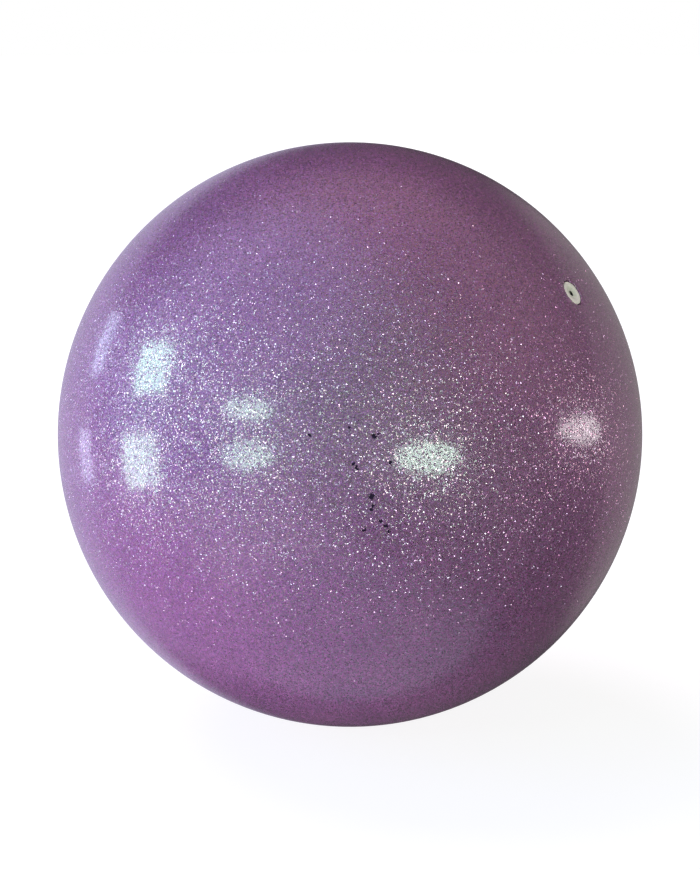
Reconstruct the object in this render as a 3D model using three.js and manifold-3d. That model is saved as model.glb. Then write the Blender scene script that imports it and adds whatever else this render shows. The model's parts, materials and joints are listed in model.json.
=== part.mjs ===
// Rhythmic gymnastics ball: an airtight bladder inside a moulded rubber wall, with a needle valve whose
// self-sealing core pulls out of its seat.
// Millimetres, +Z up, origin at the ball's centre. Every piece is turned about the valve axis, which leans
// from +Z towards +X. Profiles are (distance from the valve axis, height along it above the ball's centre).
import * as THREE from "three";
import { mergeVertices } from "three/addons/utils/BufferGeometryUtils.js";
import Module from "manifold-3d";

// Ball
const BALL_DIAMETER = 185;
const VALVE_LEAN_DEGREES = 55; // between +Z and the valve axis
const WALL_THICKNESS = 2.2;
const BLADDER_THICKNESS = 1.1;
const BOND_GAP = 0.3; // cement line between bonded layers
const VALVE_HOLE_LIP = 0.4; // rounding where the wall turns down into the valve hole

// Valve core: a white rubber plug with a flat rim, a dished face and a blind needle hole
const HEAD_DIAMETER = 7.7;
const HEAD_RECESS = 0.25; // rim below the ball's surface
const HEAD_EDGE = 0.3; // rounding of the rim's outer edge
const HEAD_GAP = 0.3; // round the head and under it
const RIM_WIDTH = 0.95; // flat ring round the dish
const DISH_DEPTH = 0.45;
const NEEDLE_HOLE_DIAMETER = 1.7;
const NEEDLE_FLOOR = 3.7; // rubber under the needle hole
const SLIT_LENGTH = 1.3; // cut through that floor, which the needle parts
const SLIT_WIDTH = 0.3;
const STEM_DIAMETER = 4.5;
const STEM_TOP = 2.0; // plain stem between the head and the first rib
const STEM_END = 1.4; // plain stem between the last rib and the tip
const RIB_COUNT = 3;
const RIB_HEIGHT = 0.4;
const RIB_SHOULDER = 0.2; // steep upper flank of a rib
const RIB_LAND = 0.5; // crest of a rib
const RIB_LEAD = 0.6; // sloped lower flank of a rib
const RIB_SPACE = 1.1; // plain stem between two ribs
const RIB_CLEARANCE = 0.15; // between a rib's crest and the seat's bore
const TIP_LENGTH = 2.4;
const TIP_END_DIAMETER = 2.6;

// Valve seat: a flanged rubber neck bonded inside the bladder, and the patch that holds its flange
const NECK_WALL = 2.2;
const NECK_PAST_TIP = 1.2; // neck beyond the core's tip
const NECK_CHAMFER = 0.5;
const BORE_LEAD_IN = 0.5;
const FLANGE_DIAMETER = 32;
const FLANGE_THICKNESS = 1.2;
const FLANGE_ROOT_FILLET = 1.5;
const PATCH_THICKNESS = 0.8;
const PATCH_BRIM = 5; // width that lies on the bladder, outside the flange

// Fineness of the turned surfaces
const SHELL_SIDES = 48;
const SHELL_RINGS = 24;
const VALVE_SIDES = 32;
const CAP_STEPS = 4;
const ROUND_STEPS = 3;
const MERGE_DISTANCE = 1e-4;

// Radii of the layers, from the outside in
const ballRadius = BALL_DIAMETER / 2;
const wallInside = ballRadius - WALL_THICKNESS;
const bladderOutside = wallInside - BOND_GAP;
const bladderInside = bladderOutside - BLADDER_THICKNESS;
const flangeOutside = bladderInside - BOND_GAP;
const flangeInside = flangeOutside - FLANGE_THICKNESS;
const patchOutside = flangeInside - BOND_GAP;
const patchInside = patchOutside - PATCH_THICKNESS;

// Distances from the valve axis
const headRadius = HEAD_DIAMETER / 2;
const valveHoleRadius = headRadius + HEAD_GAP;
const needleRadius = NEEDLE_HOLE_DIAMETER / 2;
const stemRadius = STEM_DIAMETER / 2;
const ribRadius = stemRadius + RIB_HEIGHT;
const boreRadius = ribRadius + RIB_CLEARANCE;
const neckRadius = boreRadius + NECK_WALL;
const flangeRadius = FLANGE_DIAMETER / 2;
const flangeRootRadius = neckRadius + FLANGE_ROOT_FILLET;

// Heights and lengths along the valve axis
const rimHeight = capHeight(ballRadius, valveHoleRadius + VALVE_HOLE_LIP) - HEAD_RECESS;
const collarTop = capHeight(wallInside, neckRadius) - BOND_GAP;
const headThickness = rimHeight - collarTop - HEAD_GAP;
const ribLength = RIB_SHOULDER + RIB_LAND + RIB_LEAD;
const stemLength = STEM_TOP + RIB_COUNT * ribLength + (RIB_COUNT - 1) * RIB_SPACE + STEM_END;
const coreLength = headThickness + stemLength + TIP_LENGTH;
const neckBottom = rimHeight - coreLength - NECK_PAST_TIP;

function capHeight(sphereRadius, distance) {
  return Math.sqrt(sphereRadius ** 2 - distance ** 2);
}

// Points of an arc in a profile, with angles measured from the outward direction.
function arc(centre, radius, fromAngle, toAngle, steps) {
  return Array.from({ length: steps + 1 }, (_, i) => {
    const angle = fromAngle + ((toAngle - fromAngle) * i) / steps;
    return new THREE.Vector2(centre.x + radius * Math.cos(angle), centre.y + radius * Math.sin(angle));
  });
}

// An arc of a sphere about the ball's centre, between two distances from the valve axis.
function capArc(sphereRadius, fromDistance, toDistance, steps) {
  const angleAt = (distance) => Math.acos(distance / sphereRadius);
  return arc(new THREE.Vector2(0, 0), sphereRadius, angleAt(fromDistance), angleAt(toDistance), steps);
}

function closed(profile) {
  return [...profile, profile[0].clone()];
}

// A solid turned about +Z from a profile that starts and ends on the axis, or closes on itself.
function turned(profile, sides) {
  return new THREE.LatheGeometry(profile, sides).rotateX(Math.PI / 2);
}

// A sphere's skin, from the pole opposite the valve up to the valve hole and back down inside.
function shellProfile(outside, inside, holeRadius, lip) {
  const centre = new THREE.Vector2(0, 0);
  const farPole = -Math.PI / 2;
  const lipStart = holeRadius + lip;
  const lipCentre = new THREE.Vector2(lipStart, capHeight(outside, lipStart) - lip);
  return [
    ...arc(centre, outside, farPole, Math.acos(lipStart / outside), SHELL_RINGS),
    ...(lip > 0 ? arc(lipCentre, lip, Math.PI / 2, Math.PI, ROUND_STEPS).slice(1) : []),
    ...arc(centre, inside, Math.acos(holeRadius / inside), farPole, SHELL_RINGS),
  ];
}

function wallGeometry() {
  return turned(shellProfile(ballRadius, wallInside, valveHoleRadius, VALVE_HOLE_LIP), SHELL_SIDES);
}

// The seat's neck stands through the bladder, so the bladder's hole clears the neck.
function bladderGeometry() {
  return turned(shellProfile(bladderOutside, bladderInside, neckRadius + BOND_GAP, 0), SHELL_SIDES);
}

function seatGeometry() {
  const rootCentre = new THREE.Vector2(
    flangeRootRadius,
    capHeight(flangeInside, flangeRootRadius) - FLANGE_ROOT_FILLET,
  );
  const profile = [
    new THREE.Vector2(boreRadius, neckBottom),
    new THREE.Vector2(neckRadius - NECK_CHAMFER, neckBottom),
    new THREE.Vector2(neckRadius, neckBottom + NECK_CHAMFER),
    ...arc(rootCentre, FLANGE_ROOT_FILLET, Math.PI, Math.PI / 2, ROUND_STEPS),
    ...capArc(flangeInside, flangeRootRadius, flangeRadius, CAP_STEPS).slice(1),
    ...capArc(flangeOutside, flangeRadius, neckRadius, CAP_STEPS),
    new THREE.Vector2(neckRadius, collarTop),
    new THREE.Vector2(boreRadius + BORE_LEAD_IN, collarTop),
    new THREE.Vector2(boreRadius, collarTop - BORE_LEAD_IN),
  ];
  return turned(closed(profile), VALVE_SIDES);
}

// A hat-shaped ring: its crown covers the flange and its brim lies on the bladder.
function patchGeometry() {
  const holeRadius = flangeRootRadius + BOND_GAP;
  const crownRadius = flangeRadius + BOND_GAP;
  const brimStart = crownRadius + PATCH_THICKNESS;
  const brimEnd = brimStart + PATCH_BRIM;
  const profile = [
    ...capArc(patchInside, holeRadius, brimStart, CAP_STEPS),
    ...capArc(flangeOutside - PATCH_THICKNESS, brimStart, brimEnd, CAP_STEPS),
    ...capArc(flangeOutside, brimEnd, crownRadius, CAP_STEPS),
    ...capArc(patchOutside, crownRadius, holeRadius, CAP_STEPS),
  ];
  return turned(closed(profile), VALVE_SIDES);
}

// One sealing rib, from below up: sloped below, so that the core pushes in, and steep above, so that it holds.
function ribProfile(bottom) {
  const landTop = bottom + RIB_LEAD + RIB_LAND;
  return [
    new THREE.Vector2(stemRadius, bottom),
    new THREE.Vector2(ribRadius, bottom + RIB_LEAD),
    new THREE.Vector2(ribRadius, landTop),
    new THREE.Vector2(stemRadius, landTop + RIB_SHOULDER),
  ];
}

// The core's heights count from its rim. The profile runs from the tip up the outside and down the needle hole.
function coreGeometry(wasm) {
  const dishRadius = headRadius - HEAD_EDGE - RIM_WIDTH;
  const stemEnd = -headThickness - stemLength;
  const holeBottom = NEEDLE_FLOOR - coreLength;
  const tip = new THREE.QuadraticBezierCurve(
    new THREE.Vector2(TIP_END_DIAMETER / 2, -coreLength),
    new THREE.Vector2(stemRadius, -coreLength),
    new THREE.Vector2(stemRadius, stemEnd),
  );
  const ribs = Array.from({ length: RIB_COUNT }, (_, i) =>
    ribProfile(stemEnd + STEM_END + i * (ribLength + RIB_SPACE)),
  );
  const edgeCentre = new THREE.Vector2(headRadius - HEAD_EDGE, -HEAD_EDGE);
  const dish = new THREE.QuadraticBezierCurve(
    new THREE.Vector2(dishRadius, 0),
    new THREE.Vector2((dishRadius + needleRadius) / 2, -DISH_DEPTH),
    new THREE.Vector2(needleRadius, -DISH_DEPTH),
  );
  const profile = [
    new THREE.Vector2(0, -coreLength),
    ...tip.getPoints(ROUND_STEPS),
    ...ribs.flat(),
    new THREE.Vector2(stemRadius, -headThickness),
    new THREE.Vector2(headRadius, -headThickness),
    ...arc(edgeCentre, HEAD_EDGE, 0, Math.PI / 2, ROUND_STEPS),
    ...dish.getPoints(ROUND_STEPS),
    new THREE.Vector2(needleRadius, holeBottom + needleRadius),
    new THREE.Vector2(0, holeBottom),
  ];
  // The slit's box starts at the needle hole's straight wall and runs as far past the tip.
  const slitHeight = NEEDLE_FLOOR + 2 * needleRadius;
  const slit = new THREE.BoxGeometry(SLIT_LENGTH, SLIT_WIDTH, slitHeight);
  slit.translate(0, 0, holeBottom + needleRadius - slitHeight / 2);
  return geometryOf(solidOf(wasm, turned(profile, VALVE_SIDES)).subtract(solidOf(wasm, slit)));
}

function solidOf(wasm, geometry) {
  const bare = geometry.clone();
  bare.deleteAttribute("normal");
  bare.deleteAttribute("uv");
  const merged = mergeVertices(bare, MERGE_DISTANCE);
  const mesh = new wasm.Mesh({
    numProp: 3,
    vertProperties: merged.attributes.position.array,
    triVerts: new Uint32Array(merged.index.array),
  });
  return new wasm.Manifold(mesh);
}

function geometryOf(solid) {
  const { numProp, vertProperties, triVerts } = solid.getMesh();
  const geometry = new THREE.BufferGeometry();
  geometry.setAttribute("position", new THREE.BufferAttribute(vertProperties, numProp));
  geometry.setIndex(new THREE.BufferAttribute(triVerts, 1));
  geometry.computeVertexNormals();
  return geometry;
}

const purpleGlitter = new THREE.MeshStandardMaterial({ color: 0x8a5c96, roughness: 0.2, metalness: 0.15 });
const blackButyl = new THREE.MeshStandardMaterial({ color: 0x2b2a2c, roughness: 0.7, metalness: 0 });
const greyRubber = new THREE.MeshStandardMaterial({ color: 0x5c5a5e, roughness: 0.75, metalness: 0 });
const tanPatch = new THREE.MeshStandardMaterial({ color: 0x9b8a70, roughness: 0.85, metalness: 0 });
const whiteRubber = new THREE.MeshStandardMaterial({ color: 0xd9d6cc, roughness: 0.55, metalness: 0 });

function named(name, geometry, material) {
  const mesh = new THREE.Mesh(geometry, material);
  mesh.name = name;
  return mesh;
}

const wasm = await Module();
wasm.setup();

const core = named("valve_core", coreGeometry(wasm), whiteRubber);
core.position.z = rimHeight;

const leaning = new THREE.Group();
leaning.rotation.y = THREE.MathUtils.degToRad(VALVE_LEAN_DEGREES);
leaning.add(
  named("outer_wall", wallGeometry(), purpleGlitter),
  named("inner_bladder", bladderGeometry(), blackButyl),
  named("valve_seat", seatGeometry(), greyRubber),
  named("valve_patch", patchGeometry(), tanPatch),
  core,
);

const ball = new THREE.Group();
ball.add(leaning);

export default ball;
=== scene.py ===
"""Looks of a rhythmic gymnastics ball: purple glitter lacquer on rubber, and a white needle valve.

Metres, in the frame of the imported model: the origin is the ball's centre and +Z is up. Every piece is turned
about the valve axis, along which the white plug pulls out.
"""
import json
import math

import bmesh
import bpy
from mathutils import Matrix, Vector


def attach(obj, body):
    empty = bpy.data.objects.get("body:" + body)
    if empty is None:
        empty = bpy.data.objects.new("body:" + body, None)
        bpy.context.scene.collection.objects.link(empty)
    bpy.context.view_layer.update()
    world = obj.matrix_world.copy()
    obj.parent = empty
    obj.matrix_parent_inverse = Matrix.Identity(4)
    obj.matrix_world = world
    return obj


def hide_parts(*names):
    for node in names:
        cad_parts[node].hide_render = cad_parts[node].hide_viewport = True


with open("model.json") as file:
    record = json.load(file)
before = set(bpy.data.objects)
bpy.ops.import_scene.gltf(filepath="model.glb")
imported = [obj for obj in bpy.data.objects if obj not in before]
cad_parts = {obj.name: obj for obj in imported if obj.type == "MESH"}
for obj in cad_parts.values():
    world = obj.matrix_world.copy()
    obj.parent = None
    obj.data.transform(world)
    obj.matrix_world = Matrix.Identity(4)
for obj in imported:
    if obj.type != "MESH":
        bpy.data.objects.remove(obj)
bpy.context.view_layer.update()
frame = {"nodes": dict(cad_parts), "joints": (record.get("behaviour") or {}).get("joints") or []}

# The picture in pixels, and the camera
IMAGE_WIDTH = 700
IMAGE_HEIGHT = 869
BALL_RADIUS_PX = 292.4
CAMERA_AZIMUTH = math.radians(27.6)
CAMERA_ELEVATION = math.radians(14.2)
CAMERA_DISTANCE = 0.85
SENSOR_SIZE = 36.0  # millimetres, as the camera takes it

# Valve plug: its head and needle hole
HEAD_EDGE = 0.0003
DISH_RADIUS = 0.0026
DISH_DEPTH = 0.00045
NEEDLE_RADIUS = 0.00085
NEEDLE_FLOOR = 0.0037  # from the plug's tip up to the bottom of the hole
SLIT_LENGTH = 0.0013
SLIT_WIDTH = 0.0003

# Valve plug: its tip, stem and ribs
TIP_LENGTH = 0.0024
TIP_END_RADIUS = 0.0013
STEM_RADIUS = 0.00225
PLAIN_STEM = 0.0014  # between the tip and the first rib
RIB_COUNT = 3
RIB_HEIGHT = 0.0004
RIB_SHOULDER = 0.0002
RIB_LAND = 0.0005
RIB_LEAD = 0.0006
RIB_SPACE = 0.0011

# Wall, valve seat and patch
WALL_LIP = 0.0004
BORE_LEAD_IN = 0.0005
FLANGE_THICKNESS = 0.0012
FLANGE_ROOT_FILLET = 0.0015
PATCH_THICKNESS = 0.0008
BOND_GAP = 0.0003
SOFT_EDGE = 0.0003

# Lacquer: a pair is a least and a most, and GRAIN is what the colour is multiplied by from cell to cell
LACQUER_PURPLE = (0.228, 0.071, 0.196, 1.0)
LACQUER_DEEP = (0.192, 0.057, 0.172, 1.0)
LACQUER_GRAIN = (0.55, 1.45)
LACQUER_ROUGHNESS = 0.45
MOTTLE_SIZE = 0.02
MOTTLE_DETAIL = 4.0
MOTTLE_EDGES = (0.35, 0.65)

# Flakes in the lacquer, and the clear coat over it: LEAN is the largest slope of a flake or a grain, and CALM
# is the power of a random share that keeps most slopes smaller
FLAKE_SPACING = 0.00042
FLAKE_RADIUS = 0.0002
FLAKE_PEARL = (0.59, 0.345, 0.505)
FLAKE_TINT = 0.16
FLAKE_LEAN = 0.72
FLAKE_CALM = 0.62
FLAKE_ROUGHNESS = (0.18, 0.36)
COAT_GRAIN = 0.00034
COAT_LEAN = 0.36
COAT_CALM = 3.6
COAT_ROUGHNESS = 0.11
COAT_IOR = 1.68

# Chips in the lacquer: the middle of each in picture pixels, and its radius
CHIP_DARK = (0.014, 0.004, 0.02, 1.0)
CHIP_ROUGHNESS = 1.0
CHIP_RAGGEDNESS = 0.001
CHIP_DETAIL = 2.0
CHIPS = [
    ((310, 435), 0.0005),
    ((349, 427), 0.0005),
    ((374, 436), 0.00075),
    ((379, 434), 0.0006),
    ((353, 463), 0.00055),
    ((356, 468), 0.0007),
    ((390, 462), 0.00065),
    ((371, 496), 0.0008),
    ((373, 505), 0.00055),
    ((371, 509), 0.00055),
    ((381, 521), 0.00055),
    ((386, 525), 0.00065),
    ((388, 531), 0.0004),
    ((364, 530), 0.0006),
]

# Grain of all moulded rubber: BUMP_DEPTH is a share of the grain's size
GRAIN_DETAIL = 3.0
GRAIN_EDGES = (0.3, 0.7)
BUMP_STRENGTH = 0.25
BUMP_DEPTH = 0.3

# White rubber of the valve plug: HOLE_EDGE is how far the painted shade in the needle hole reaches, in radii
# of the needle hole
VALVE_WHITE = (0.92, 0.85, 0.77, 1.0)
VALVE_DISH = (0.70, 0.68, 0.58, 1.0)
# Painted shade inside the needle hole
VALVE_HOLE_SHADE = (0.01, 0.01, 0.01, 1.0)
VALVE_GRAIN = 0.0004
VALVE_STAIN = 0.25
VALVE_ROUGHNESS = (0.42, 0.58)
HOLE_EDGE = 1.05

# Rubber that the wall hides: colour, dusty colour, roughness, size of its grain and how strongly dust shows
SEAT_RUBBER = ((0.11, 0.105, 0.115), (0.2, 0.19, 0.19), 0.7, 0.0008, 0.7)
PATCH_RUBBER = ((0.33, 0.26, 0.17), (0.42, 0.36, 0.27), 0.8, 0.0008, 0.7)
BUTYL_RUBBER = ((0.025, 0.024, 0.026), (0.12, 0.12, 0.12), 0.65, 0.0012, 0.5)
ROUGHNESS_SPREAD = 0.08
DUST_FINENESS = 0.35  # size of the grain over the size of a dusty patch
DUST_DETAIL = 5.0
DUST_EDGES = (0.42, 0.68)

# Power of a lamp 1 m wide and high at a brightness of 1
LAMP_POWER = {"RECTANGLE": 4.0, "ELLIPSE": math.pi, "DISK": math.pi}

# Window lamps: the middle and the size of each one's glint on the ball in picture pixels, and the lamp's
# shape, brightness and colour
WINDOW_DISTANCE = 1.2
WINDOWS = {
    "window_left_high": ((152, 367), (32, 47), "RECTANGLE", 7.4, (0.54, 0.99, 0.74)),
    "window_left_low": ((139, 460), (35, 56), "RECTANGLE", 6.9, (0.57, 0.89, 0.69)),
    "window_front_high": ((247, 409), (54, 23), "ELLIPSE", 6.5, (0.61, 1.0, 0.74)),
    "window_front_low": ((246, 455), (54, 28), "ELLIPSE", 6.5, (0.61, 1.0, 0.74)),
    "window_right": ((428, 457), (70, 31), "ELLIPSE", 8.0, (0.69, 0.98, 0.78)),
    "window_far_right": ((580, 429), (44, 30), "ELLIPSE", 4.5, (0.95, 0.89, 0.9)),
    "strip_left_high": ((104, 343), (12, 38), "RECTANGLE", 2.8, (0.62, 0.75, 1.0)),
    "strip_left_low": ((85, 455), (10, 54), "RECTANGLE", 2.4, (0.68, 0.78, 1.0)),
}
# These light no matt surface, only glints
GLINT_ONLY = ("window_left_high", "window_left_low")

# Soft lamps that fill matt surfaces and show in no glint: where each stands as (right, up, camera), and its
# size, brightness and colour
FILL_DISTANCE = 1.5
FILLS = {
    "fill_left": ((-0.95, 0.1, 0.3), 1.2, 4.0, (0.02, 0.2, 1.0)),
    "fill_high_left": ((-0.4, 0.85, -0.15), 1.2, 4.8, (1.0, 0.8, 0.98)),
    "fill_low_left": ((-0.7, -0.66, 0.0), 1.2, 8.4, (0.97, 0.88, 1.0)),
    "fill_low_right": ((0.6, -0.4, 0.69), 1.2, 2.2, (1.0, 0.88, 0.88)),
    "fill_rear": ((0.0, 0.0, -1.0), 0.8, 6.0, (1.0, 1.0, 1.0)),
}

# The room: its tone, and glows over it, each with its middle as (right, up, camera), its half-angle and
# softness in degrees, and its colour
ROOM_TONE = (0.02, 0.02, 0.02, 1.0)
ROOM_GLOWS = {
    "above": ((0.0, 1.0, 0.1), 35, 12, (0.46, 0.34, 0.31, 1.0)),
    "above_right": ((0.65, 0.7, 0.3), 35, 12, (0.37, 0.27, 0.29, 1.0)),
    "by_the_camera": ((-0.33, 0.36, 0.87), 45, 20, (0.32, 0.53, 0.39, 1.0)),
    "left": ((-0.95, 0.1, 0.3), 40, 10, (0.03, 0.07, 0.33, 1.0)),
    "above_left": ((-0.6, 0.7, 0.38), 38, 12, (0.58, 0.60, 0.90, 1.0)),
    "below_left": ((-0.5, -0.8, 0.35), 35, 10, (0.80, 0.78, 0.94, 1.0)),
    "below": ((0.0, -1.0, 0.06), 38, 4, (0.26, 0.34, 0.39, 1.0)),
    "behind_below_left": ((-0.75, -0.58, -0.3), 28, 8, (0.43, 0.31, 0.53, 1.0)),
    "behind_left": ((-0.5, 0.05, -0.87), 29, 4, (0.48, 0.46, 0.62, 1.0)),
    "behind_right": ((0.6, 0.08, -0.79), 27, 3, (0.24, 0.22, 0.22, 1.0)),
    "below_right": ((0.75, -0.4, 0.52), 30, 12, (0.12, 0.14, 0.13, 1.0)),
}

# The white background and the floor: GLOSSY_SHARE is how much of the background shows in reflections, and
# FLOOR_GLOW is the floor's own white at the two distances of FLOOR_FADE from the ball's foot
WHITE = (1.0, 1.0, 1.0, 1.0)
GLOSSY_SHARE = 0.05
FLOOR_RADIUS = 2.0
FLOOR_SIDES = 96
FLOOR_GREY = (0.2, 0.2, 0.2, 1.0)
FLOOR_FADE = (0.1, 0.35)
FLOOR_GLOW = (0.88, 1.0)

# Fineness of the meshes
SKIN_SIDES = 224
SKIN_RINGS = 112
VALVE_SIDES = 96
CAP_STEPS = 12
ROUND_STEPS = 5
SHARP_ANGLE = math.radians(40)
ON_AXIS = 1e-7

VALVE_AXIS = Vector(frame["joints"][0]["axis"]).normalized()
VALVE_TURN = Vector((0, 0, 1)).rotation_difference(VALVE_AXIS).to_matrix().to_4x4()


def turned_points(node):
    """(distance from the valve axis, height along it) of each vertex of a CAD node."""
    to_valve = VALVE_TURN.inverted()
    points = [to_valve @ vertex.co for vertex in frame["nodes"][node].data.vertices]
    return [(math.hypot(p.x, p.y), p.z) for p in points]


def reach(node):
    """Least and most distance from the valve axis, and least and most height along it, of a CAD node."""
    distances, heights = zip(*turned_points(node))
    return min(distances), max(distances), min(heights), max(heights)


def sphere_radii(node):
    """Inside and outside radius of a CAD node that is a sphere's skin."""
    radii = [vertex.co.length for vertex in frame["nodes"][node].data.vertices]
    return min(radii), max(radii)


def hole_radius(node):
    """Radius of the valve hole through a CAD node that is a sphere's skin."""
    return min(distance for distance, height in turned_points(node) if height > 0)


WALL_INSIDE, BALL_RADIUS = sphere_radii("outer_wall")
WALL_HOLE = hole_radius("outer_wall")
BLADDER_INSIDE, BLADDER_OUTSIDE = sphere_radii("inner_bladder")
BLADDER_HOLE = hole_radius("inner_bladder")
BORE_RADIUS, FLANGE_RADIUS, NECK_BOTTOM, COLLAR_TOP = reach("valve_seat")
NECK_RADIUS = BLADDER_HOLE - BOND_GAP
PATCH_RADIUS = reach("valve_patch")[1]
_, HEAD_RADIUS, TIP_HEIGHT, RIM_HEIGHT = reach("valve_core")


def cap_height(radius, distance):
    """Height of a sphere's surface at a distance from the valve axis."""
    return math.sqrt(radius**2 - distance**2)


def arc(centre, radius, start, end, steps):
    """Points of an arc in a profile, with angles measured from the outward direction."""
    angles = [start + (end - start) * i / steps for i in range(steps + 1)]
    return [(centre[0] + radius * math.cos(a), centre[1] + radius * math.sin(a)) for a in angles]


def cap_arc(radius, start, end, steps):
    """An arc about the ball's centre, between two distances from the valve axis."""
    return arc((0, 0), radius, math.acos(start / radius), math.acos(end / radius), steps)


def eased(points, corner, radius):
    """The points with the one at corner replaced by a rounding that starts radius away on each side."""
    at = Vector(points[corner])
    before = Vector(points[corner - 1])
    after = Vector(points[(corner + 1) % len(points)])
    start = at + (before - at).normalized() * radius
    end = at + (after - at).normalized() * radius
    shares = [i / ROUND_STEPS for i in range(ROUND_STEPS + 1)]
    bend = [start * (1 - s) ** 2 + at * 2 * s * (1 - s) + end * s**2 for s in shares]
    return points[:corner] + [tuple(p) for p in bend] + points[corner + 1:]


def path_lengths(points):
    """How far along a path each of its points is."""
    lengths = [0.0]
    for start, end in zip(points, points[1:]):
        lengths.append(lengths[-1] + math.dist(start, end))
    return lengths


def add_ring(shape, distance, height, sides):
    """A vertex for each side of a ring about the axis, all of them the same where the ring is a point."""
    if distance < ON_AXIS:
        return [shape.verts.new((0, 0, height))] * sides
    turns = [math.tau * i / sides for i in range(sides)]
    return [shape.verts.new((distance * math.cos(t), distance * math.sin(t), height)) for t in turns]


def turned_piece(name, profile, sides, closed=False):
    """A smooth mesh turned about the valve axis from (distance, height) points, with an unrolled map."""
    lengths = path_lengths(profile + profile[:1] if closed else profile)
    shape = bmesh.new()
    unrolled = shape.loops.layers.uv.new("OFBake")
    rings = [add_ring(shape, distance, height, sides) for distance, height in profile]
    if closed:
        rings.append(rings[0])
    for ring in range(len(rings) - 1):
        for side in range(sides):
            ahead = (side + 1) % sides
            corners = {}
            for vertex, across, along in (
                (rings[ring][side], side, ring),
                (rings[ring][ahead], side + 1, ring),
                (rings[ring + 1][ahead], side + 1, ring + 1),
                (rings[ring + 1][side], side, ring + 1),
            ):
                corners.setdefault(vertex, (across / sides, lengths[along] / lengths[-1]))
            face = shape.faces.new(corners)
            for corner in face.loops:
                corner[unrolled].uv = corners[corner.vert]
    bmesh.ops.recalc_face_normals(shape, faces=shape.faces)
    shape.transform(VALVE_TURN)
    mesh = bpy.data.meshes.new(name)
    shape.to_mesh(mesh)
    shape.free()
    mesh.shade_smooth()
    mesh.set_sharp_from_angle(angle=SHARP_ANGLE)
    piece = bpy.data.objects.new(name, mesh)
    bpy.context.scene.collection.objects.link(piece)
    return piece


def shell_profile(outside, inside, hole, lip, rings):
    """A sphere's skin, from the pole opposite the valve up to the valve hole and back down inside."""
    far_pole = -math.pi / 2
    lip_start = hole + lip
    lip_centre = (lip_start, cap_height(outside, lip_start) - lip)
    outer = arc((0, 0), outside, far_pole, math.acos(lip_start / outside), rings)
    inner = arc((0, 0), inside, math.acos(hole / inside), far_pole, rings // 2)
    outer[0] = (0, -outside)
    inner[-1] = (0, -inside)
    return outer + arc(lip_centre, lip, math.pi / 2, math.pi, ROUND_STEPS)[1:] + inner


def skin():
    """The ball's wall, with a rounded lip at the valve hole."""
    profile = shell_profile(BALL_RADIUS, WALL_INSIDE, WALL_HOLE, WALL_LIP, SKIN_RINGS)
    return turned_piece("glitter_skin", profile, SKIN_SIDES)


def bladder():
    """The airtight lining of the wall, with half as many rings and sides because the wall hides it."""
    profile = shell_profile(BLADDER_OUTSIDE, BLADDER_INSIDE, BLADDER_HOLE, SOFT_EDGE, SKIN_RINGS // 2)
    return turned_piece("air_bladder", profile, SKIN_SIDES // 2)


def seat():
    """The neck that grips the plug, with a flange inside the bladder and a fillet between the two."""
    top = BLADDER_INSIDE - BOND_GAP
    under = top - FLANGE_THICKNESS
    root = NECK_RADIUS + FLANGE_ROOT_FILLET
    root_centre = (root, cap_height(under, root) - FLANGE_ROOT_FILLET)
    profile = [
        (BORE_RADIUS, NECK_BOTTOM),
        (NECK_RADIUS, NECK_BOTTOM),
        *arc(root_centre, FLANGE_ROOT_FILLET, math.pi, math.pi / 2, ROUND_STEPS),
        *cap_arc(under, root, FLANGE_RADIUS, CAP_STEPS)[1:],
        *cap_arc(top, FLANGE_RADIUS, NECK_RADIUS, CAP_STEPS),
        (NECK_RADIUS, COLLAR_TOP),
        (BORE_RADIUS, COLLAR_TOP),
    ]
    last = len(profile) - 1
    # From the last corner to the first, so that no rounding shifts a corner still to come
    for corner, radius in ((last, BORE_LEAD_IN), (last - 1, SOFT_EDGE), (1, BORE_LEAD_IN), (0, SOFT_EDGE)):
        profile = eased(profile, corner, radius)
    return turned_piece("seat_moulding", profile, VALVE_SIDES, closed=True)


def patch():
    """The sheet over the flange: a crown on it, and a brim down on the bladder all round."""
    flange_top = BLADDER_INSIDE - BOND_GAP
    crown_top = flange_top - FLANGE_THICKNESS - BOND_GAP
    hole = NECK_RADIUS + FLANGE_ROOT_FILLET + BOND_GAP
    crown = FLANGE_RADIUS + BOND_GAP
    brim = crown + PATCH_THICKNESS
    profile = [
        *cap_arc(crown_top - PATCH_THICKNESS, hole, brim, CAP_STEPS),
        *cap_arc(flange_top - PATCH_THICKNESS, brim, PATCH_RADIUS, CAP_STEPS),
        *cap_arc(flange_top, PATCH_RADIUS, crown, CAP_STEPS),
        *cap_arc(crown_top, crown, hole, CAP_STEPS),
    ]
    return turned_piece("patch_sheet", profile, VALVE_SIDES, closed=True)


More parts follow.
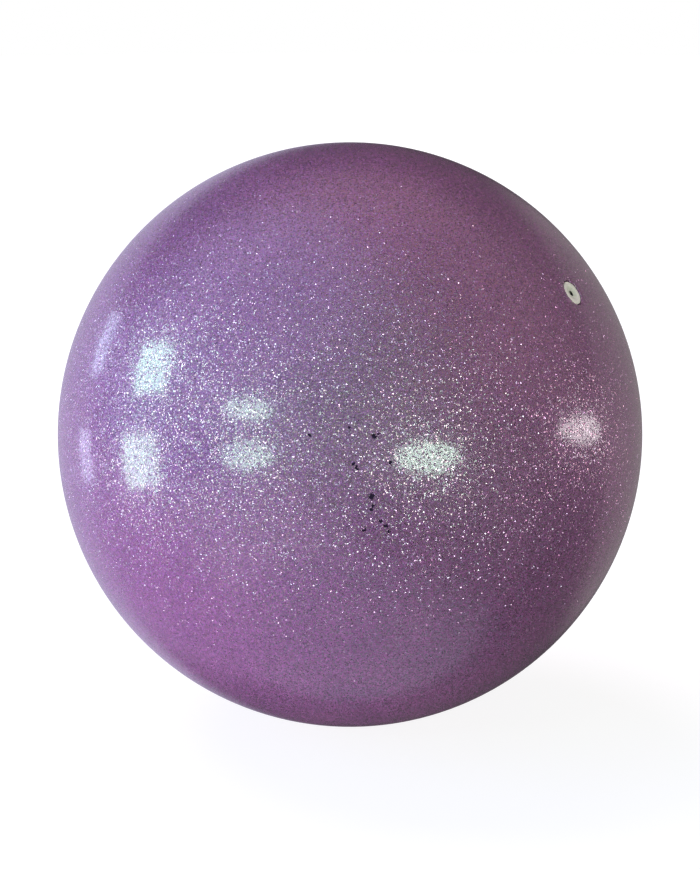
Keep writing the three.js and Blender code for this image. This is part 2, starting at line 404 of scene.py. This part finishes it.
def plug():
    """The white plug: tip, ribbed stem, head with a flat rim and a dished face, needle hole and slit."""
    under_head = COLLAR_TOP + BOND_GAP
    first_rib = TIP_HEIGHT + TIP_LENGTH + PLAIN_STEM
    rib_radius = STEM_RADIUS + RIB_HEIGHT
    rib_length = RIB_LEAD + RIB_LAND + RIB_SHOULDER
    hole_floor = TIP_HEIGHT + NEEDLE_FLOOR
    profile = [(0, TIP_HEIGHT), (STEM_RADIUS, TIP_HEIGHT)]
    for i in range(RIB_COUNT):
        bottom = first_rib + i * (rib_length + RIB_SPACE)
        profile += [
            (STEM_RADIUS, bottom),
            (rib_radius, bottom + RIB_LEAD),
            (rib_radius, bottom + RIB_LEAD + RIB_LAND),
            (STEM_RADIUS, bottom + rib_length),
        ]
    last_of_ribs = len(profile) - 1
    profile += [
        (STEM_RADIUS, under_head),
        (HEAD_RADIUS, under_head),
        (HEAD_RADIUS, RIM_HEIGHT),
        (DISH_RADIUS, RIM_HEIGHT),
        ((DISH_RADIUS + NEEDLE_RADIUS) / 2, RIM_HEIGHT - DISH_DEPTH),
        (NEEDLE_RADIUS, RIM_HEIGHT - DISH_DEPTH),
        (NEEDLE_RADIUS, hole_floor + NEEDLE_RADIUS),
        (0, hole_floor),
    ]
    # From the last corner to the first, so that no rounding shifts a corner still to come
    head_roundings = (SOFT_EDGE / 2, SOFT_EDGE, SOFT_EDGE, HEAD_EDGE, HEAD_EDGE, SOFT_EDGE)
    last_of_head = last_of_ribs + len(head_roundings)
    roundings = [(last_of_head - i, radius) for i, radius in enumerate(head_roundings)]
    roundings += [(corner, RIB_SHOULDER / 2) for corner in range(last_of_ribs, 1, -1)]
    roundings += [(1, STEM_RADIUS - TIP_END_RADIUS)]
    for corner, radius in roundings:
        profile = eased(profile, corner, radius)
    piece = turned_piece("plug_moulding", profile, VALVE_SIDES)
    return slit_cut(piece, hole_floor + NEEDLE_RADIUS)


def slit_cut(piece, top):
    """The plug with the slit that a needle parts, cut from the needle hole down through the tip."""
    height = 2 * (top - TIP_HEIGHT)
    box = bmesh.new()
    bmesh.ops.create_cube(box, size=1)
    for vertex in box.verts:
        x, y, z = vertex.co
        vertex.co = (x * SLIT_LENGTH, y * SLIT_WIDTH, top + (z - 0.5) * height)
    box.transform(VALVE_TURN)
    mesh = bpy.data.meshes.new("slit")
    box.to_mesh(mesh)
    box.free()
    cutter = bpy.data.objects.new("slit", mesh)
    bpy.context.scene.collection.objects.link(cutter)
    cut = piece.modifiers.new("slit", "BOOLEAN")
    cut.object = cutter
    cut.operation = "DIFFERENCE"
    cut.solver = "EXACT"
    bpy.context.view_layer.update()
    whole = piece.data
    slitted = piece.evaluated_get(bpy.context.evaluated_depsgraph_get())
    piece.data = bpy.data.meshes.new_from_object(slitted)
    piece.modifiers.clear()
    bpy.data.meshes.remove(whole)
    bpy.data.objects.remove(cutter)
    bpy.data.meshes.remove(mesh)
    return piece


class Graph:
    """A tree of shader nodes. Each call adds nodes and feeds their sockets."""

    def __init__(self, tree):
        self.tree = tree
        tree.nodes.clear()

    def add(self, kind, feeds, **settings):
        """A node of a kind, with what goes into its sockets: another node's output, or a plain value."""
        node = self.tree.nodes.new("ShaderNode" + kind)
        for name, value in settings.items():
            setattr(node, name, value)
        for socket, value in feeds.items():
            if isinstance(value, bpy.types.NodeSocket):
                self.tree.links.new(value, node.inputs[socket])
            else:
                node.inputs[socket].default_value = value
        return node

    def place(self):
        """Where a point is in its piece, which is the model's frame at rest."""
        return self.add("TexCoord", {}).outputs["Object"]

    def math(self, operation, *values):
        """A number from numbers."""
        return self.add("Math", dict(enumerate(values)), operation=operation).outputs[0]

    def vector(self, operation, *values):
        """A vector from vectors."""
        return self.add("VectorMath", dict(enumerate(values)), operation=operation).outputs["Vector"]

    def measure(self, operation, *values):
        """A number from vectors."""
        return self.add("VectorMath", dict(enumerate(values)), operation=operation).outputs["Value"]

    def scaled(self, vector, amount):
        """A vector, or a colour, times a number."""
        return self.add("VectorMath", {0: vector, "Scale": amount}, operation="SCALE").outputs["Vector"]

    def mix(self, share, first, second):
        """A colour between two colours, by the sockets that a Mix node has for colours."""
        return self.add("Mix", {0: share, 6: first, 7: second}, data_type="RGBA").outputs[2]

    def between(self, share, first, second):
        """A number between two numbers, by the sockets that a Mix node has for numbers."""
        return self.add("Mix", {0: share, 2: first, 3: second}, data_type="FLOAT").outputs[0]

    def ramp(self, value, low, high, start=0.0, end=1.0):
        """A number that goes from start to end while the value goes from low to high."""
        feeds = {"Value": value, "From Min": low, "From Max": high, "To Min": start, "To Max": end}
        return self.add("MapRange", feeds).outputs["Result"]

    def noise(self, place, size, detail):
        """Cloudy noise with blots of a size."""
        return self.add("TexNoise", {"Vector": place, "Scale": 1 / size, "Detail": detail}).outputs

    def surface(self, feeds):
        """The material's own shader."""
        shader = self.add("BsdfPrincipled", feeds)
        self.add("OutputMaterial", {"Surface": shader.outputs["BSDF"]})


def material(name):
    """A new material and its empty graph."""
    made = bpy.data.materials.new(name)
    made.use_nodes = True
    return made, Graph(made.node_tree)


def small_cells(graph, place, size):
    """Cells of a size: a random direction and random values of each, and the distance from its middle."""
    cells = graph.add("TexVoronoi", {"Vector": place, "Scale": 1 / size})
    chance = graph.add("TexWhiteNoise", {"Vector": cells.outputs["Color"]})
    way = graph.vector("MULTIPLY_ADD", cells.outputs["Color"], (2, 2, 2), (-1, -1, -1))
    away = graph.math("MULTIPLY", cells.outputs["Distance"], size)
    return way, chance.outputs, away


def leaning(graph, way, chance, lean, calm):
    """The normal, leaned that way: by as much as lean now and then, and by less the rest of the time."""
    amount = graph.math("MULTIPLY", graph.math("POWER", chance["Value"], calm), lean)
    upright = graph.add("NewGeometry", {}).outputs["Normal"]
    return graph.vector("NORMALIZE", graph.vector("ADD", upright, graph.scaled(way, amount)))


def chipped(graph, place):
    """1 within the chips and 0 elsewhere, with ragged edges."""
    wander = graph.noise(place, CHIP_RAGGEDNESS, CHIP_DETAIL)["Color"]
    wander = graph.vector("SUBTRACT", wander, (0.5, 0.5, 0.5))
    offset = graph.vector("MULTIPLY", wander, (2 * CHIP_RAGGEDNESS,) * 3)
    ragged = graph.vector("ADD", place, offset)
    mask = 0.0
    for (x, y), radius in CHIPS:
        middle = glint(x, y)[0]
        away = graph.measure("DISTANCE", ragged, middle)
        mask = graph.math("MAXIMUM", mask, graph.math("LESS_THAN", away, radius))
    return mask


def glitter_material():
    """Purple lacquer full of metal flakes that lean at random, a clear coat over it, and dark chips."""
    made, graph = material("purple_glitter_lacquer")
    place = graph.place()
    chip = chipped(graph, place)
    way, chance, away = small_cells(graph, place, FLAKE_SPACING)
    pick = graph.add("SeparateColor", {"Color": chance["Color"]}).outputs
    is_flake = graph.math("SUBTRACT", graph.math("LESS_THAN", away, FLAKE_RADIUS), chip)
    is_flake = graph.math("MAXIMUM", is_flake, 0.0)

    mottle = graph.ramp(graph.noise(place, MOTTLE_SIZE, MOTTLE_DETAIL)["Fac"], *MOTTLE_EDGES)
    lacquer = graph.mix(mottle, LACQUER_PURPLE, LACQUER_DEEP)
    lacquer = graph.scaled(lacquer, graph.ramp(pick["Green"], 0, 1, *LACQUER_GRAIN))
    bare = graph.mix(chip, lacquer, CHIP_DARK)
    bare_roughness = graph.ramp(chip, 0, 1, LACQUER_ROUGHNESS, CHIP_ROUGHNESS)

    # In this mode the sockets take hue, saturation and value
    hue = graph.add("CombineColor", {"Red": pick["Red"], "Green": FLAKE_TINT, "Blue": 1.0}, mode="HSV")
    flake = graph.vector("MULTIPLY", hue.outputs["Color"], FLAKE_PEARL)
    flake_roughness = graph.ramp(pick["Blue"], 0, 1, *FLAKE_ROUGHNESS)
    flake_lean = graph.math("MULTIPLY", is_flake, FLAKE_LEAN)

    grain_way, grain_chance, _ = small_cells(graph, place, COAT_GRAIN)
    graph.surface({
        "Base Color": graph.mix(is_flake, bare, flake),
        "Metallic": is_flake,
        "Roughness": graph.between(is_flake, bare_roughness, flake_roughness),
        "Normal": leaning(graph, way, chance, flake_lean, FLAKE_CALM),
        "Coat Weight": graph.math("SUBTRACT", 1.0, chip),
        "Coat Roughness": COAT_ROUGHNESS,
        "Coat IOR": COAT_IOR,
        "Coat Normal": leaning(graph, grain_way, grain_chance, COAT_LEAN, COAT_CALM),
    })
    return made


def moulded_grain(graph, place, size):
    """The noise of a moulded surface's fine grain, and the normal that the grain gives it."""
    fine = graph.noise(place, size, GRAIN_DETAIL)["Fac"]
    bump = graph.add("Bump", {"Height": fine, "Strength": BUMP_STRENGTH, "Distance": size * BUMP_DEPTH})
    return fine, bump.outputs["Normal"]


def rubber_material(name, colour, dusty, roughness, grain, dustiness):
    """Moulded rubber with dusty patches and a fine grain."""
    made, graph = material(name)
    place = graph.place()
    fine, normal = moulded_grain(graph, place, grain)
    dust = graph.ramp(graph.noise(place, grain / DUST_FINENESS, DUST_DETAIL)["Fac"], *DUST_EDGES)
    least, most = roughness - ROUGHNESS_SPREAD, roughness + ROUGHNESS_SPREAD
    graph.surface({
        "Base Color": graph.mix(graph.math("MULTIPLY", dust, dustiness), (*colour, 1), (*dusty, 1)),
        "Roughness": graph.ramp(fine, *GRAIN_EDGES, least, most),
        "Normal": normal,
    })
    return made


def valve_material():
    """White moulded rubber, a little grey in the dish, and darkened inside the needle hole by painted shade.
    """
    made, graph = material("white_valve_rubber")
    place = graph.place()
    fine, normal = moulded_grain(graph, place, VALVE_GRAIN)
    away = graph.measure("LENGTH", graph.vector("CROSS_PRODUCT", place, VALVE_AXIS))
    height = graph.measure("DOT_PRODUCT", place, VALVE_AXIS)
    uneven = graph.math("MULTIPLY_ADD", fine, VALVE_GRAIN, away)
    dished = graph.ramp(uneven, DISH_RADIUS + VALVE_GRAIN, DISH_RADIUS - VALVE_GRAIN)
    on_face = graph.math("GREATER_THAN", height, RIM_HEIGHT - 2 * DISH_DEPTH)
    # Painted shade: the inside of the needle hole is coloured dark
    painted_hole_shade = graph.math("LESS_THAN", away, NEEDLE_RADIUS * HOLE_EDGE)
    shade = graph.mix(graph.math("MULTIPLY", dished, on_face), VALVE_WHITE, VALVE_DISH)
    shade = graph.mix(graph.math("MULTIPLY", fine, VALVE_STAIN), shade, VALVE_DISH)
    graph.surface({
        "Base Color": graph.mix(painted_hole_shade, shade, VALVE_HOLE_SHADE),
        "Roughness": graph.ramp(fine, *GRAIN_EDGES, *VALVE_ROUGHNESS),
        "Normal": normal,
    })
    return made


def dress(piece, body, node, finish):
    """Gives a piece its finish, and puts it in the place of a CAD node."""
    piece.data.materials.clear()
    piece.data.materials.append(finish)
    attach(piece, body)
    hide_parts(node)


def camera_axes():
    """The camera's right, up and back directions."""
    flat = math.cos(CAMERA_ELEVATION)
    back = Vector((
        math.sin(CAMERA_AZIMUTH) * flat,
        -math.cos(CAMERA_AZIMUTH) * flat,
        math.sin(CAMERA_ELEVATION),
    ))
    right = Vector((math.cos(CAMERA_AZIMUTH), math.sin(CAMERA_AZIMUTH), 0))
    return right, back.cross(right), back


def direction_of(towards):
    """A direction that is given as (right, up, camera)."""
    return (Matrix(camera_axes()).transposed() @ Vector(towards)).normalized()


def focal_px():
    """Focal length in picture pixels, from how large the ball shows."""
    return BALL_RADIUS_PX / math.tan(math.asin(BALL_RADIUS / CAMERA_DISTANCE))


def add_camera():
    """The camera of the picture, which looks at the ball's centre."""
    back = camera_axes()[2]
    lens = bpy.data.cameras.new("camera")
    lens.lens = focal_px() * SENSOR_SIZE / IMAGE_HEIGHT
    lens.sensor_width = SENSOR_SIZE
    camera = bpy.data.objects.new("camera", lens)
    camera.location = back * CAMERA_DISTANCE
    camera.rotation_euler = back.to_track_quat("Z", "Y").to_euler()
    bpy.context.scene.collection.objects.link(camera)
    bpy.context.scene.camera = camera


def glint(x, y):
    """Where the ball shows at a pixel, and the direction from which light glints there."""
    right, up, back = camera_axes()
    across = (x - (IMAGE_WIDTH - 1) / 2) / focal_px()
    above = ((IMAGE_HEIGHT - 1) / 2 - y) / focal_px()
    ray = (right * across + up * above - back).normalized()
    eye = back * CAMERA_DISTANCE
    along = -eye.dot(ray) - math.sqrt(eye.dot(ray) ** 2 - eye.length_squared + BALL_RADIUS**2)
    point = eye + ray * along
    return point, ray.reflect(point.normalized())


def add_lamp(name, shape, wide, high, brightness, colour):
    """A soft lamp of that brightness, whatever its size, that the camera doesn't see."""
    lamp = bpy.data.lights.new(name, "AREA")
    lamp.shape = shape
    lamp.size = wide
    lamp.size_y = high
    lamp.energy = LAMP_POWER[shape] * brightness * wide * high
    lamp.color = colour
    stand = bpy.data.objects.new(name, lamp)
    stand.visible_camera = False
    bpy.context.scene.collection.objects.link(stand)
    return stand


def add_window(name, middle, size, shape, brightness, colour):
    """A lamp whose mirror image on the ball has that middle and size in picture pixels."""
    x, y = middle
    wide, high = size
    point, direction = glint(x, y)
    ends = [glint(x + side * wide / 2, y)[1] for side in (-1, 1)]
    tops = [glint(x, y + side * high / 2)[1] for side in (-1, 1)]
    width = ends[0].angle(ends[1]) * WINDOW_DISTANCE
    height = tops[0].angle(tops[1]) * WINDOW_DISTANCE
    stand = add_lamp(name, shape, width, height, brightness, colour)
    upward = direction.cross(ends[1] - ends[0]).normalized()
    turn = Matrix((upward.cross(direction), upward, direction)).transposed()
    stand.matrix_world = Matrix.LocRotScale(point + direction * WINDOW_DISTANCE, turn, None)
    stand.visible_diffuse = name not in GLINT_ONLY


def add_fill(name, towards, size, brightness, colour):
    """A round lamp in that direction, which shows in no reflection."""
    direction = direction_of(towards)
    stand = add_lamp(name, "DISK", size, size, brightness, colour)
    stand.location = direction * FILL_DISTANCE
    stand.rotation_euler = direction.to_track_quat("Z", "Y").to_euler()
    stand.visible_glossy = False


def add_lights():
    """All windows and fills."""
    for name, settings in WINDOWS.items():
        add_window(name, *settings)
    for name, settings in FILLS.items():
        add_fill(name, *settings)


def add_world():
    """A dim room with soft glows for light and reflections, and plain white for the background."""
    world = bpy.data.worlds.new("studio")
    bpy.context.scene.world = world
    world.use_nodes = True
    graph = Graph(world.node_tree)
    direction = graph.add("TexCoord", {}).outputs["Generated"]
    tone = ROOM_TONE
    for towards, angle, softness, colour in ROOM_GLOWS.values():
        near = graph.measure("DOT_PRODUCT", direction, direction_of(towards))
        edges = [math.cos(math.radians(angle + side * softness)) for side in (1, -1)]
        tone = graph.mix(graph.ramp(near, *edges), tone, colour)
    room = graph.add("Background", {"Color": tone, "Strength": 1.0})
    white = graph.add("Background", {"Color": WHITE, "Strength": 1.0})
    seen = graph.add("LightPath", {}).outputs
    reflected = graph.math("MULTIPLY", seen["Is Glossy Ray"], GLOSSY_SHARE)
    background = graph.math("MAXIMUM", seen["Is Camera Ray"], seen["Is Transmission Ray"])
    background = graph.math("MAXIMUM", background, reflected)
    shader = graph.add("MixShader", {0: background, 1: room.outputs[0], 2: white.outputs[0]})
    graph.add("OutputWorld", {"Surface": shader.outputs[0]})


def add_floor():
    """A pale floor that keeps the ball's shadow, a little greyer under the ball and white further out."""
    made, graph = material("pale_floor")
    away = graph.measure("LENGTH", graph.place())
    camera = graph.add("LightPath", {}).outputs["Is Camera Ray"]
    glow = graph.math("MULTIPLY", graph.ramp(away, *FLOOR_FADE, *FLOOR_GLOW), camera)
    white = graph.add("Emission", {"Color": WHITE, "Strength": glow})
    matt = graph.add("BsdfDiffuse", {"Color": FLOOR_GREY})
    shader = graph.add("AddShader", {0: matt.outputs[0], 1: white.outputs[0]})
    graph.add("OutputMaterial", {"Surface": shader.outputs[0]})
    foot = (0, 0, -BALL_RADIUS)
    bpy.ops.mesh.primitive_circle_add(
        vertices=FLOOR_SIDES, radius=FLOOR_RADIUS, fill_type="NGON", location=foot)
    floor = bpy.context.object
    floor.name = "floor"
    floor.data.materials.append(made)
    floor.visible_glossy = False
    floor.visible_shadow = False


add_camera()
dress(skin(), "ball", "outer_wall", glitter_material())
dress(plug(), "valve_plug", "valve_core", valve_material())
dress(seat(), "ball", "valve_seat", rubber_material("seat_rubber", *SEAT_RUBBER))
dress(patch(), "ball", "valve_patch", rubber_material("patch_rubber", *PATCH_RUBBER))
dress(bladder(), "ball", "inner_bladder", rubber_material("butyl_rubber", *BUTYL_RUBBER))
add_lights()
add_world()
add_floor()

bpy.context.scene.view_settings.view_transform = "Standard"
